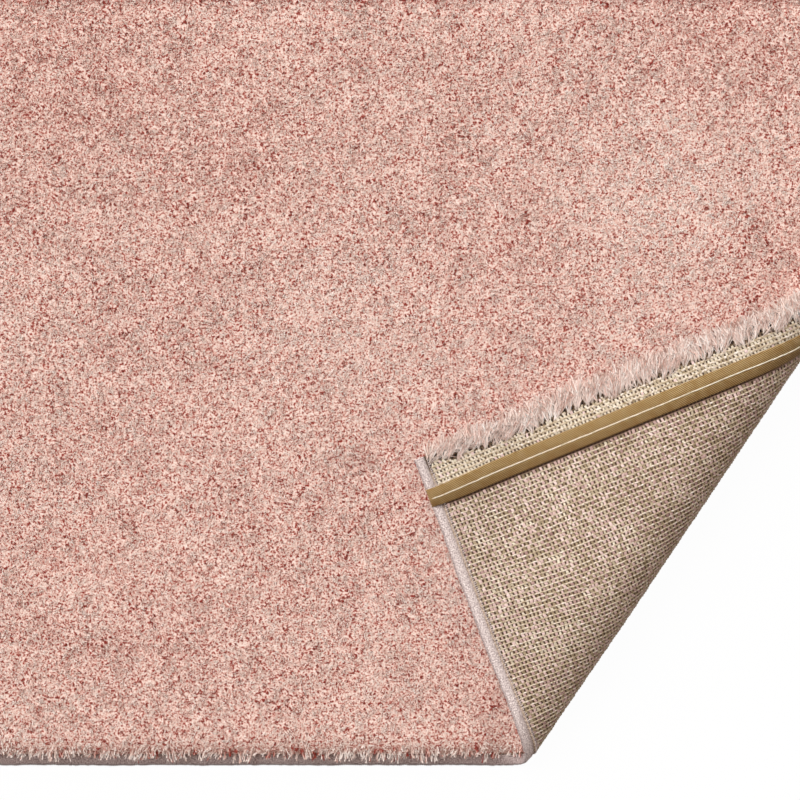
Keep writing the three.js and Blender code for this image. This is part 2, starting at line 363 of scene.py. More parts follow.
def strand_material(name, roots, tips, low, high):
    """Matt yarn with a soft sheen. Roots and tips have a ramp of colours each, read at the strand's
    tone, and the colour turns from one to the other between two heights of the map."""
    material, tree = new_material(name, Roughness=0.9, Sheen_Weight=0.15, Sheen_Roughness=0.5)
    tone, height = tone_and_height(tree)
    root = add_node(tree, "ValToRGB", {0: tone}, roots)
    tip = add_node(tree, "ValToRGB", {0: tone}, tips)
    share = add_node(tree, "MapRange", {0: height, 1: low, 2: high}, interpolation_type="SMOOTHSTEP")
    colour = add_node(tree, "Mix", {0: share, 6: root, 7: tip}, data_type="RGBA")
    return coloured(material, colour.outputs[2])


def pile_material():
    """Heat-set polyester pile yarn, cut: brick red at the root and in the shade of its clump, and
    pale pinkish cream at its bloomed tip."""
    tips = [(0, "#8b261c"), (1, "#fcf2ea"), (0.15, "#ad5848"), (0.36, "#e0b4a6"), (0.6, "#f0d8cb")]
    return strand_material("cut_polyester_pile", [(0, "#9a2f21"), (1, "#e6ad9d")], tips, 0.05, 0.6)


def fringe_material():
    """The same yarn where it is brushed out over the hem: finer, greyed at the root by the shade
    between the strands, and pale pinkish cream at the tip."""
    tips = [(0, "#d5a797"), (1, "#fffaf5"), (0.45, "#f3ddd2")]
    return strand_material("brushed_pile_ends", [(0, "#8f7d69"), (1, "#ddcfc2")], tips, 0.0, 0.32)


def bed_material():
    """The closed mass of the same yarn, seen between the strands that are drawn: pale tips broken
    by small brick red gaps, 2 mm apart, which are painted in: the red of the roots and the shade
    that falls into the gaps."""
    # Painted shade: the brick red gaps stand for the roots' red and the shade between the tufts
    stops = [(0.36, "#8e2a1f"), (0.66, "#fae8dd"), (0.43, "#c88e80"), (0.5, "#e5c3b6")]
    return mottled_material("pile_roots", 1.0, 2, 3.0, stops)


BAND = math.pi / 10  # a band wave repeats after this much of its vector, at a scale of 1


def woven_material():
    """Machine woven back, under its raised threads: straw wefts, pinkish knots in columns between
    them, and dark gaps, whose dark is painted shade in the holes of the weave. Waves with the rows'
    and columns' spacing draw both. A dark band beside the tape's inner edge is painted shadow of
    the tape's raised edge. The hem is painted dark under the roots of its fringe, for the shade
    between its strands."""
    material, tree = new_material("woven_polyester_back", Roughness=0.9)
    flat = add_node(tree, "UVMap", uv_map="flat")
    waves = []
    for axis, spacing in (("X", ROW), ("Y", COLUMN)):
        waves.append(add_node(
            tree, "TexWave",
            {"Vector": flat, "Scale": BAND / (spacing * MM), "Phase Offset": math.pi},
            bands_direction=axis,
        ).outputs[1])
    rows, columns = waves
    patches = add_node(tree, "TexNoise", {"Vector": flat, "Scale": 1 / (4 * MM), "Detail": 2.0})
    knots = add_node(
        tree, "ValToRGB", {0: patches}, [(0.3, "#8f7a5f"), (0.7, "#e0c6ba"), (0.5, "#bfa58c")]
    )
    knot = add_node(tree, "MapRange", {0: columns, 1: 0.35, 2: 0.6})
    weft = add_node(tree, "MapRange", {0: rows, 1: 0.78, 2: 0.95})
    # Painted shade: the dark colour of the gaps stands for the shade in the holes of the weave
    colour = srgb("#452f1e")
    for share, thread in ((knot, knots), (weft, srgb("#e0ceb5"))):
        colour = add_node(tree, "Mix", {0: share, 6: colour, 7: thread}, data_type="RGBA").outputs[2]
    along = add_node(tree, "SeparateXYZ", {0: flat})
    # Painted shade: a dark band for the shadow of the tape's inner edge, and the hem darkened under the
    # roots of its fringe for the shade between its strands
    painted_shade = add_node(
        tree, "ValToRGB", {0: along},
        [((TAPE_INNER - 4) * MM, "#ffffff"), ((HALF - 13) * MM, "#6a573f"),
         ((TAPE_INNER - 3) * MM, "#866a5a"), ((TAPE_INNER + 2) * MM, "#866a5a"),
         ((TAPE_INNER + 3) * MM, "#ffffff"), ((HALF - 20) * MM, "#ffffff")],
    )
    colour = add_node(
        tree, "Mix", {0: 1.0, 6: colour, 7: painted_shade}, data_type="RGBA", blend_type="MULTIPLY"
    ).outputs[2]
    relief = add_node(tree, "Math", {0: rows, 1: columns}, operation="MAXIMUM")
    return coloured(material, colour, relief, 0.8)


def weft_material():
    """Jute-coloured weft thread: pale straw, dry and uneven along its length."""
    stops = [(0.3, "#978362"), (0.68, "#f7ede2"), (0.5, "#cdbba0")]
    return mottled_material("straw_weft_thread", 0.85, 2.5, 2.0, stops)


STRAW, PINK = (0.03, 0.47), (0.53, 0.97)  # the two kinds of knot, as ranges of their tone


def knot_material():
    """Yarn between the wefts: straw warps and pinkish mauve pile loops, each a little different."""
    material, tree = new_material("warp_and_pile_knots", Roughness=0.9)
    tone, _ = tone_and_height(tree)
    stops = [(0, "#78674a"), (1, "#f2dad4"), (0.27, "#a8977a"), (0.495, "#efe5d0"),
             (0.505, "#93716a"), (0.75, "#c9aaa2")]
    return coloured(material, add_node(tree, "ValToRGB", {0: tone}, stops).outputs[0])


def twill_material():
    """Cotton twill hem tape: khaki gold, with fine diagonal ribs, drawn 1.8 mm apart, which is
    coarser than the real 1 mm, so that they show, and crossed by the fainter steps of the
    weave. It is darkest along its inner edge, and lighter from the stitches outwards: painted
    shade, where its inner half curves down away from the lamp."""
    material, tree = new_material("cotton_twill_tape", Roughness=0.85)
    flat = add_node(tree, "UVMap", uv_map="flat")
    waves = []
    for turn, spacing in ((57, 1.8), (132, 1.9)):
        turned = add_node(tree, "Mapping", {"Vector": flat, "Rotation": (0, 0, -math.radians(turn))})
        waves.append(add_node(
            tree, "TexWave", {"Vector": turned, "Scale": BAND / (spacing * MM), "Distortion": 0.4},
            bands_direction="X",
        ).outputs[1])
    ribs = add_node(tree, "Mix", {0: 0.2, 2: waves[0], 3: waves[1]}, data_type="FLOAT")
    patches = add_node(tree, "TexNoise", {"Vector": flat, "Scale": 1 / (6 * MM), "Detail": 3.0})
    weave = add_node(tree, "ValToRGB", {0: ribs}, [(0.34, "#38280f"), (0.66, "#e9c98c")])
    worn = add_node(tree, "ValToRGB", {0: patches}, [(0.35, "#d9c8a4"), (0.65, "#ffffff")])
    across = add_node(tree, "SeparateXYZ", {0: flat})
    # Painted shade: the tape's inner half is darker, where it curves down away from the lamp
    shade = add_node(
        tree, "ValToRGB", {0: across}, [(TAPE_INNER * MM, "#c4b69a"), (STITCH_AT * MM, "#eae6e2")]
    )
    colour = weave
    for other in (worn, shade):
        colour = add_node(
            tree, "Mix", {0: 1.0, 6: colour, 7: other}, data_type="RGBA", blend_type="MULTIPLY"
        ).outputs[2]
    return coloured(material, colour, ribs, 0.3)


YARN_BANDS = 8  # rows in which the bake map of an overcast edge is laid out


def yarn_material():
    """Overcast edge of bulked acrylic yarn: warm lavender white and fuzzy, and greyer on the outer
    side of the edge and a little over its pile side: painted shade, of the sides that face away
    from the lamp. Each band of the map goes round the edge from its outer side over the pile side,
    and back again by the back side."""
    material, tree = new_material(
        "overcast_acrylic_yarn", Roughness=0.9, Sheen_Weight=0.15, Sheen_Roughness=0.5
    )
    flat = add_node(tree, "UVMap", uv_map="flat")
    fuzz = add_node(tree, "TexNoise", {"Vector": flat, "Scale": 1 / (1.4 * MM), "Detail": 2.0})
    colour = add_node(
        tree, "ValToRGB", {0: fuzz}, [(0.32, "#9c8b8a"), (0.64, "#f7ece7"), (0.48, "#d0c1bd")]
    )
    own = add_node(tree, "SeparateXYZ", {0: add_node(tree, "UVMap", uv_map="OFBake")})
    bands = add_node(tree, "Math", {0: own.outputs[1], 1: YARN_BANDS}, operation="MULTIPLY")
    round_it = add_node(tree, "Math", {0: bands}, operation="FRACT")
    # Painted shade: greyer on the edge's outer side and a little on its pile side, which face away from
    # the lamp
    painted_edge_shade = add_node(
        tree, "ValToRGB", {0: round_it},
        [(0.05, "#b3abab"), (0.95, "#c4bcbc"), (0.28, "#d6cfcf"), (0.45, "#ffffff"), (0.8, "#ffffff")],
    )
    colour = add_node(
        tree, "Mix", {0: 1.0, 6: colour, 7: painted_edge_shade}, data_type="RGBA", blend_type="MULTIPLY"
    )
    return coloured(material, colour.outputs[2], fuzz, 0.8)


def stitch_material():
    """Glazed polyester sewing thread: off-white, with a faint gloss."""
    stops = [(0.3, "#c9bd9e"), (0.62, "#fbf6e6")]
    return mottled_material("polyester_sewing_thread", 0.55, 2, 2.0, stops)


# ---- camera, lamps and floor ----
VIEW_CENTRE = (264.2, -38)  # the camera looks straight down on this point
VIEW_HEIGHT = 2500
VIEW_FIELD = 800  # width of floor that it sees
SKY, SKY_COLOUR = 0.38, (1, 0.84, 0.77)  # the even light from all round, a warm one
KEY, KEY_FROM = 3.68, (-2.4, 2.4, 2.6)  # the key light, from beyond the far left corner
KEY_SPREAD = 60  # width of its disc, in degrees, which makes it a soft one
FLOOR_REACH = 12  # half the side of the floor, in metres


def make_camera():
    """Straight above, with the lens that shows the field's width from its height."""
    data = bpy.data.cameras.new("camera")
    data.sensor_width = 36
    data.lens = data.sensor_width * VIEW_HEIGHT / VIEW_FIELD
    camera = bpy.data.objects.new("camera", data)
    camera.location = [v * MM for v in (*VIEW_CENTRE, VIEW_HEIGHT)]
    bpy.context.scene.collection.objects.link(camera)
    bpy.context.scene.camera = camera


def make_sun(name, comes_from, spread, strength):
    """A lamp so far off that its light is even, soft for its wide disc; spread is in degrees."""
    data = bpy.data.lights.new(name, "SUN")
    data.angle = math.radians(spread)
    data.energy = strength
    lamp = bpy.data.objects.new(name, data)
    lamp.location = comes_from
    lamp.rotation_euler = (-Vector(comes_from)).to_track_quat("-Z", "Y").to_euler()
    bpy.context.scene.collection.objects.link(lamp)


def seen_share(tree):
    """1 for rays that bring a surface to the eye, straight, mirrored or through glass; else 0."""
    rays = add_node(tree, "LightPath").outputs
    mirrored = add_node(
        tree, "Math", {0: rays["Is Glossy Ray"], 1: rays["Is Transmission Ray"]}, operation="MAXIMUM"
    )
    return add_node(tree, "Math", {0: rays["Is Camera Ray"], 1: mirrored}, operation="MAXIMUM")


def make_surroundings():
    """A white floor and white surroundings to the eye, while the light from round about stays that
    of the lamp and of a dim warm sky. A tenth of the floor's look is its own, for the shadow."""
    world = bpy.data.worlds.new("studio")
    bpy.context.scene.world = world
    world.use_nodes = True
    background = world.node_tree.nodes["Background"]
    light = [SKY * part for part in SKY_COLOUR] + [1]
    colour = add_node(
        world.node_tree, "Mix", {0: seen_share(world.node_tree), 6: light, 7: (1, 1, 1, 1)},
        data_type="RGBA",
    )
    world.node_tree.links.new(colour.outputs[2], background.inputs["Color"])
    make_sun("key", KEY_FROM, KEY_SPREAD, KEY)

    mesh = bpy.data.meshes.new("floor")
    corners = [(FLOOR_REACH * x, FLOOR_REACH * y, 0) for x, y in ((-1, -1), (1, -1), (1, 1), (-1, 1))]
    mesh.from_pydata(corners, [], [(0, 1, 2, 3)])
    floor = bpy.data.objects.new("floor", mesh)
    bpy.context.scene.collection.objects.link(floor)
    grey = (0.25, 0.25, 0.25, 1)
    material, tree = new_material("white_studio_floor", Roughness=0.9, Base_Color=grey)
    part = add_node(tree, "Math", {0: seen_share(tree), 1: 0.9}, operation="MULTIPLY")
    glow = add_node(tree, "Emission", {"Color": (1, 1, 1, 1), "Strength": 1.08})
    mixed = add_node(tree, "MixShader", {0: part, 1: tree.nodes["Principled BSDF"], 2: glow})
    tree.links.new(mixed.outputs[0], tree.nodes["Material Output"].inputs["Surface"])
    mesh.materials.append(material)


# ---- woven ground with its hems ----
def spaced(*rows):
    """Places from the rows' starts to their ends, about a step apart; rows are (from, to, step)."""
    parts = [np.linspace(a, b, max(2, round((b - a) / step) + 1))[:-1] for a, b, step in rows]
    return np.append(np.concatenate(parts), rows[-1][1])


def two_row_atlas(around, y):
    """The loop round the section is laid out in two rows, back below and pile side above."""
    half = around / 2

    def atlas(corners):
        place_round = corners[..., 1]
        upper = place_round.min(axis=1, keepdims=True) >= half
        u = (place_round - np.where(upper, half, 0)) / half
        v = (y[corners[..., 0]] - y[0]) / (y[-1] - y[0])
        return np.stack([0.01 + 0.98 * u, 0.005 + 0.49 * v + np.where(upper, 0.5, 0)], axis=-1)

    return atlas


def slab(name, low, high, nose, xs, ys, material):
    """A closed slab of the flat rug between two depths, which are functions of x and y, with
    rounded ends: its section is the back's points, a nose, the top's points backwards, and a
    nose."""
    rounding = np.array([0.0, 0.35, 0.8])
    ends = xs[-1] - nose * rounding[::-1]
    inner = xs[(xs > -ends[0]) & (xs < ends[0])]
    x = np.concatenate([-ends[::-1], inner, ends])
    inset = np.concatenate([rounding, np.full(len(inner), 1), rounding[::-1]])
    share = 0.5 * np.sqrt(1 - (1 - inset) ** 2)
    grid_x, grid_y = np.broadcast_arrays(x[None], ys[:, None])
    bottom, top = low(grid_x, grid_y), high(grid_x, grid_y)
    back = blend(bottom, top, 0.5 - share)
    front = blend(bottom, top, 0.5 + share)
    depth = np.concatenate([back, front[:, ::-1]], axis=1)
    loop_x = np.concatenate([grid_x, grid_x[:, ::-1]], axis=1)
    loop_y = np.concatenate([grid_y, grid_y], axis=1)
    return closed_strip(name, loop_x, loop_y, depth, material, two_row_atlas(2 * len(x), ys))


def fold_lines(step, side):
    """Lines along and across the rug up to its sides, close together where the corner folds."""
    xs = spaced((-HALF, -HEM_FULL, 10), (-HEM_FULL, -HEM_START, 4), (-HEM_START, -LIFT_START, 20),
                (-LIFT_START, 230, 45), (230, HEM_START, step), (HEM_START, HEM_FULL, 4),
                (HEM_FULL, HALF, step))
    ys = spaced((-side, 190, step), (190, side, 40))
    return xs, ys


def make_ground(material):
    """The ground runs on a little under the overcast edges, so that no light shows between."""
    xs, ys = fold_lines(7.5, SELVEDGE + 2.1)
    low = lambda x, y: back_depth(x)
    high = lambda x, y: np.full(x.shape, float(GROUND))
    return slab("woven_ground", low, high, 2.5, xs, ys, material)


def bed_depth(x, y):
    """The bed is the closed mass of the pile, just under the tips: a little uneven, and falling
    off along the borders."""
    border = np.minimum(HALF - np.abs(x), SELVEDGE - np.abs(y))
    return 6 + 14.5 * smoothstep(border, -5, 6.5) + 0.35 * smooth_noise(x, y, 20, 31)


def make_bed(material):
    """The bed stands on the ground, and ends 2 mm short of the hems' folded edges."""
    xs, ys = fold_lines(9, SELVEDGE)
    low = lambda x, y: np.full(x.shape, GROUND + 0.1)
    return slab("pile_roots", low, bed_depth, 2.5, xs * (HALF - 2) / HALF, ys, material)


# ---- wefts and knots of the back, raised where the folded corner shows them ----
SHOWN_TO = 197  # the bend shows nothing of the back beyond this y


def on_flap(x, y):
    """Whether a point of the flat rug is on the part that is folded over, or within 6 mm of it."""
    t, q = fold_coordinates(x, y)
    return q + bend_at(t)[0] > -6


def fringe_line(y):
    """Where on the hem the brushed fringe of pile begins: a wavering line, nearer the edge at the
    corner."""
    waver = 3.5 * smooth_noise(y, 0 * y, 16, 55) + 3 * smooth_noise(y, 0 * y, 5, 54)
    return HALF - 16 - waver + 6 * np.exp(-(y + SELVEDGE) / 20)


def make_wefts(material):
    """Each weft is a low ridge along y, with a crest that wavers a little and rises over each
    column of knots. On the hem, where few knots show, the wefts lie broader."""
    xs = ROW * np.arange(math.ceil(TIP_X / ROW) - 12, math.floor((HALF - 2) / ROW) + 1)
    xs = xs[(xs < TAPE_INNER - 3) | (xs > TAPE_OUTER - 1)]
    first, last = (math.ceil(2 * y / COLUMN) for y in (0.4 - SELVEDGE, SHOWN_TO))
    ys = COLUMN / 2 * np.arange(first, last)
    x, y = np.meshgrid(xs, ys, indexing="ij")
    waver = 0.25 * smooth_noise(x * 7, y, COLUMN * 0.8, 5) + 0.35 * smooth_noise(x * 3, y, 16, 8)
    crest = 1.0 + 0.3 * np.cos(2 * math.pi * y / COLUMN) + 0.4 * smooth_noise(x * 5, y, COLUMN, 6)
    half_width = 0.95 + 0.2 * smooth_noise(x * 3, y, 5, 7) + 0.55 * (x > TAPE_INNER)
    floor = back_depth(x) + 0.15
    points = np.stack([
        place(x + side * half_width + waver, y, floor - height * crest)
        for side, height in ((-1, 0), (0, 1), (1, 0))
    ], axis=2)
    keep = on_flap(x, y) & (x < fringe_line(y))
    keep = np.repeat((keep[:, 1:] & keep[:, :-1]).ravel(), 2)
    faces = grid_faces(*points.shape[:3])[keep]
    used, faces = np.unique(faces, return_inverse=True)
    return mesh_piece("raised_wefts", points.reshape(-1, 3)[used], faces.reshape(-1, 4), material)


def make_knots(material, rng):
    """Each column shows one knot in each row, a low pillow on a grid of four points by three. Pink
    pile loops and straw warps take turns, as on a draughtboard, with some strays: a loop lies
    over the weft after it, and a warp dives under that. On the hem nearly all are straw."""
    rows = np.arange(math.ceil(TIP_X / ROW) - 12, math.floor((HALF - 6) / ROW))
    columns = np.arange(math.ceil((1.5 - SELVEDGE) / COLUMN), math.ceil(SHOWN_TO / COLUMN))
    i, j = (v.ravel() for v in np.meshgrid(rows, columns, indexing="ij"))
    x, y = (i + 0.5) * ROW, j * COLUMN
    under_tape = (x > TAPE_INNER - 1 - 3 * (rng.random(len(x)) < 0.5)) & (x < TAPE_OUTER - 1)
    keep = on_flap(x, y) & ~under_tape & (x < fringe_line(y))
    i, j, x, y = i[keep], j[keep], x[keep], y[keep]
    count = len(x)
    hem = x > TAPE_INNER
    loop = (i + j) % 2 == 0
    loop ^= rng.random(count) < 0.15
    loop &= ~hem | (rng.random(count) < 0.15)
    worn = 0.25 * smooth_noise(x, y, 22, 61) + 0.15 * smooth_noise(x, y, 90, 62)
    place_in = np.clip(0.5 + worn + rng.normal(0, 0.2, count) + 0.5 * hem, 0, 1)
    tone = np.where(loop, blend(*PINK, place_in), blend(*STRAW, place_in))

    u = np.array([-1, -0.55, 0.55, 1])[:, None] + np.zeros(3)
    v = np.zeros(4)[:, None] + np.array([-1, 0, 1])
    bulge = np.array([0.4, 1, 1, 0.4])[:, None] * np.array([0, 1, 0])
    long = ROW * np.where(loop, rng.uniform(0.36, 0.52, count), rng.uniform(0.28, 0.4, count))
    wide = rng.uniform(1.05, 1.8, count) + 0.15 * hem
    high = np.where(loop, rng.uniform(0.7, 1.4, count), rng.uniform(0.3, 0.8, count))
    skew = rng.normal(-0.35, 0.4, count)
    x = x + ROW * np.where(loop, 0.08, -0.02) + rng.normal(0, 0.25, count)
    y = y + rng.normal(0, 0.35, count)
    x, y, long, wide, high, skew = (w[:, None, None] for w in (x, y, long, wide, high, skew))
    pillow_x = x + u * long
    pillow_y = y + v * wide + u * skew
    points = place(pillow_x, pillow_y, back_depth(pillow_x) + 0.15 - high * bulge)
    map_u = tone[:, None, None] + np.array([-0.01, 0.01, 0.01, -0.01])
    map_v = np.array([0.3, 0.3, 0.7, 0.7]) + np.zeros((1, 6, 1))
    maps = np.stack(np.broadcast_arrays(map_u, map_v), axis=-1)
    return mesh_piece("raised_knots", points.reshape(-1, 3), grid_faces(count, 4, 3), material,
                      {"OFBake": maps.reshape(-1, 4, 2)})


# ---- overcast edges ----
TURN = 2.1  # from one turn of yarn to the next
YARN_REACH = 6.1  # half width of the cord, before its ribs


def make_binding(name, sign, material):
    """A cord of seven sides round the long edge. Its turns of yarn stand up as slanting ribs: the
    radius grows by the size of a sine of the place along it."""
    x = np.arange(-HALF, HALF + 0.01, TURN / 3)
    turn = np.arange(7) * 2 * math.pi / 7
    grid_x, grid_turn = np.meshgrid(x, turn, indexing="ij")
    ribs = np.abs(np.sin(math.pi * grid_x / TURN + 0.5 * grid_turn))
    ribs = 0.84 + 0.2 * ribs + 0.06 * smooth_noise(grid_x, grid_turn * 3, 2.5, 44)
    middle = WIDTH / 2 - BINDING_WIDTH / 2 + 1.5
    y = sign * (middle + ribs * YARN_REACH * np.cos(grid_turn) + 0.35 * smooth_noise(grid_x, 0, 17, 45))
    share = 0.5 + ribs * 0.5 * np.sin(grid_turn)
    depth = blend(back_depth(grid_x), BINDING_HEIGHT, share)
    atlas = banded_atlas(len(x), len(turn), YARN_BANDS)
    return closed_strip(name, grid_x, y, depth, material, atlas)


def make_bites(name, sign, material, rng):
    """Each turn of yarn bites into the back a little way in from the edge: a short ridge of four
    sections, three points across. Its bake map lies in the part of a band with no painted shade,
    which is the back side of the edge."""
    x = np.arange(-HALF + 2, HALF - 2, TURN)
    x = x + rng.normal(0, 0.2, len(x))
    reach = rng.uniform(0.3, 2.4, len(x))[:, None, None]
    wide = rng.uniform(0.55, 0.85, len(x))[:, None, None]
    x = x[:, None, None]
    along = np.array([0, 0.4, 0.8, 1])[:, None]
    height = np.array([1.5, 1.1, 0.7, 0])[:, None] * np.array([0, 1, 0])
    side = np.array([-1, 0, 1]) * np.array([1, 1, 0.8, 0.3])[:, None]
    bite_x = x + side * wide + along * 0.9
    bite_y = sign * (SELVEDGE + 1.2 - along * (reach + 1.2)) + 0 * bite_x
    points = place(bite_x, bite_y, back_depth(bite_x) + 0.1 - height)
    faces = grid_faces(len(x), 4, 3)
    flat = np.stack([bite_x, bite_y], axis=-1).reshape(-1, 2)[faces] * MM
    back_side = 0.65 + 5 * (np.abs(flat[..., 1]) - 0.39)
    bake = np.stack([0.5 + flat[..., 0] / 1.6, back_side / YARN_BANDS], axis=-1)
    return mesh_piece(name, points.reshape(-1, 3), faces, material, {"flat": flat, "OFBake": bake})


# ---- tapes and their stitches ----
def tape_shift(y):
    """How a tape's free front end strays: it turns inwards, narrows and curls over the edge."""
    end = smoothstep(-y, WIDTH / 2 - 80, WIDTH / 2 + 3)
    return {"aside": -1.5 * end, "narrow": 1 - 0.1 * end}


def tape_depth(x, y):
    """Depth of a tape's outer face: over the hem's step, crowned, drawn in at the stitches, curled
    down over the overcast edge at its ends."""
    seat = blend(-HEM_THICKNESS * smoothstep(x, TAPE_INNER + 1, TAPE_INNER + 13), -HEM_THICKNESS, 0.35)
    across = np.clip(2 * (x - TAPE_INNER) / TAPE_WIDTH - 1, -1, 1)
    crown = 0.9 * (1 - across ** 2) + 0.7 * smoothstep(across, -1, -0.3)
    drawn = 0.7 * np.exp(-((x - STITCH_AT) / 1.6) ** 2)
    uneven = 0.25 * smooth_noise(x, y, 30, 12)
    curl = 0.12 * np.maximum(np.abs(y) - (WIDTH / 2 - 3), 0) ** 2
    lifted = 0.3 * smoothstep(-across, 0.6, 1)
    return seat - GAP - TAPE_THICKNESS - crown - lifted + drawn + uneven + curl


def make_tape(name, sign, material):
    """A loop round the tape's section: outer face, rounded edge, inner face, rounded edge."""
    y = np.arange(-WIDTH / 2 - 3, WIDTH / 2 + 0.1, 3.2)
    share = np.array([0, 0.02, 0.08, 0.2, 0.32, 0.39, 0.45, 0.51, 0.58, 0.7, 0.82, 0.92, 0.98, 1])
    edge = np.clip(np.sqrt(1 - (1 - np.minimum(np.minimum(share, 1 - share) / 0.05, 1)) ** 2), 0.15, 1)
    loop_share = np.concatenate([share, share[::-1]])
    loop_side = np.concatenate([edge, -edge[::-1]]) / 2
    grid_share, grid_y = np.meshgrid(loop_share, y, indexing="xy")
    shift = tape_shift(grid_y) if sign > 0 else {"aside": 0, "narrow": 1}
    plain_x = TAPE_INNER + grid_share * TAPE_WIDTH
    x = TAPE_INNER + 0.5 * TAPE_WIDTH + (grid_share - 0.5) * TAPE_WIDTH * shift["narrow"]
    x = x + shift["aside"] + 0.5 + 0.35 * smooth_noise(0 * grid_y, grid_y, 45, 13)
    depth = tape_depth(plain_x, grid_y) + TAPE_THICKNESS * (0.5 - loop_side[None])
    atlas = banded_atlas(len(y), len(loop_share), 4)
    return closed_strip(name, sign * x, grid_y, depth, material, atlas)


def make_stitches(name, sign, material, rng):
    """Lockstitches end to end, each a thread with six sides that slants a little and dips into the
    tape at its ends, under the ends of its neighbours."""
    pitch = 5.4
    starts = np.arange(-WIDTH / 2 + 0.5, WIDTH / 2 - pitch, pitch)
    share = np.array([0, 0.1, 0.3, 0.7, 0.9, 1])
    arch = np.array([-0.3, 0.3, 0.6, 0.6, 0.3, -0.3])
    thick = np.array([0.35, 0.52, 0.64, 0.64, 0.52, 0.35])
    y = starts[:, None] + share * (pitch + 1.4) - 0.7
    aside = rng.normal(0, 0.12, (len(starts), 1))
    centre = STITCH_AT + aside + 0.3 * (share - 0.5)
    x = centre + (tape_shift(y)["aside"] if sign > 0 else 0)
    depth = tape_depth(centre, y) - arch
    turn = np.arange(6) * math.pi / 3 + math.pi / 6
    ring_x = x[..., None] + thick[:, None] * np.cos(turn)
    ring_depth = depth[..., None] + thick[:, None] * np.sin(turn)
    ring_y = np.broadcast_to(y[..., None], ring_x.shape)
    points, faces, _ = tubes(place(sign * ring_x, ring_y, ring_depth))
    if not facing_out(points, faces):
        faces = faces[:, ::-1]
    return mesh_piece(name, points, faces, material)


# ---- pile ----
BLADES = 9  # fibres shown in each tuft; each stands for a strand of the real yarn
PILE_PIECES = 4
# Soft sweeps in the pile, painted lighter or redder for the light and shade of its lay: middle x and y,
# radius, tone added.
SWEEPS = [
    (640, 120, 70, -0.3),
    (330, -330, 60, -0.12),
    (-60, 270, 110, -0.28),
    (90, 220, 60, -0.15),
    (590, 310, 100, -0.28),
    (540, 170, 100, 0.4),
    (190, 40, 90, 0.2),
    (330, -200, 90, 0.1),
    (350, -40, 60, 0.12),
    (480, 10, 60, 0.12),
]


def hidden(x, y, margin=30):
    """Whether a tuft is shut between the layers, more than the margin from an open edge. The cloth
    over a flat tuft lies as far past the bend's end as the tuft is behind its start."""
    t, q = fold_coordinates(x, y)
    a, b = bend_at(t)
    whole = a * np.interp(b / a, RATIOS, WHOLE_ARC)
    over = np.where(q + a > 0, q, whole - q - 2 * a)
    over_x = TIP_X + over * OUT_X + t * ALONG_X
    over_y = TIP_Y + over * OUT_Y + t * ALONG_Y
    return (t > 0) & (over > 0) & (over_x < HALF - margin) & (over_y > -WIDTH / 2 + margin)


def tufts(rng):
    """Tufts stand on the grid of the knots, a little out of line."""
    i = np.arange(math.ceil((3 - HALF) / ROW), math.floor((HALF - 3) / ROW))
    j = np.arange(math.ceil((2 - SELVEDGE) / COLUMN), math.floor((SELVEDGE - 2) / COLUMN) + 1)
    i, j = (v.ravel() for v in np.meshgrid(i, j, indexing="ij"))
    x = (i + 0.5) * ROW + rng.normal(0, 0.6, len(i))
    y = j * COLUMN + rng.normal(0, 0.6, len(i))
    keep = ~hidden(x, y) & (np.abs(y) < SELVEDGE - 0.8)
    return x[keep], y[keep]


def clump_lean(x, y):
    """How tufts lean together: a slow sweep, and clumps, drawn out along one diagonal."""
    diagonal = math.sqrt(0.5)
    along, across = (x + y) * diagonal, (x - y) * diagonal
    clump = 3.0 * smooth_noise(along / 1.7, across, 8, 22)
    lean_x = 0.8 * smooth_noise(x, y, 70, 21) + diagonal * clump + 1.9 * smooth_noise(x, y, 6, 24)
    lean_y = 0.8 * smooth_noise(x, y, 70, 23) - diagonal * clump + 1.9 * smooth_noise(x, y, 6, 28)
    return lean_x, lean_y


def parting(x, y):
    """0 to 1 where neighbouring tufts lean apart, by how fast the lean grows along itself."""
    grows = clump_lean(x + 1, y)[0] - clump_lean(x - 1, y)[0]
    grows += clump_lean(x, y + 1)[1] - clump_lean(x, y - 1)[1]
    return smoothstep(grows / 2, 0.32, 0.7)


def tuft_lean(x, y, rng):
    """How far a tuft's tips lie from its root: the clumps' lean and a stray of its own. At the
    borders the tufts lean out, over the long edges in ragged bunches."""
    lean_x, lean_y = clump_lean(x, y)
    ragged = 1 + 0.7 * smooth_noise(x, y, 9, 29)
    lean_x += rng.normal(0, 0.8, len(x)) + np.sign(x) * 7 * np.exp((np.abs(x) - HALF) / 9)
    lean_y += rng.normal(0, 0.8, len(x)) + np.sign(y) * 7 * ragged * np.exp((np.abs(y) - SELVEDGE) / 8)
    return lean_x, lean_y


def tuft_tone(x, y, parted, rng):
    """Where between dark and pale a tuft's colour lies: slow drifts, the sweeps, partings painted
    dark for the shade in them, and a stray of its own. The sweeps are painted light and shade of
    the pile's lay."""
    tone = 0.66 + 0.07 * smooth_noise(x, y, 130, 26) + 0.06 * smooth_noise(x, y, 24, 27)
    # Painted light and shade of the pile's lay, in soft sweeps
    for middle_x, middle_y, radius, added in SWEEPS:
        away = np.hypot(x - middle_x, y - middle_y) / radius
        tone += added * np.exp(-away ** 2)
    # Painted shade: fibres in a parting are darker
    return tone - 0.85 * parted + rng.normal(0, 0.09, len(x))


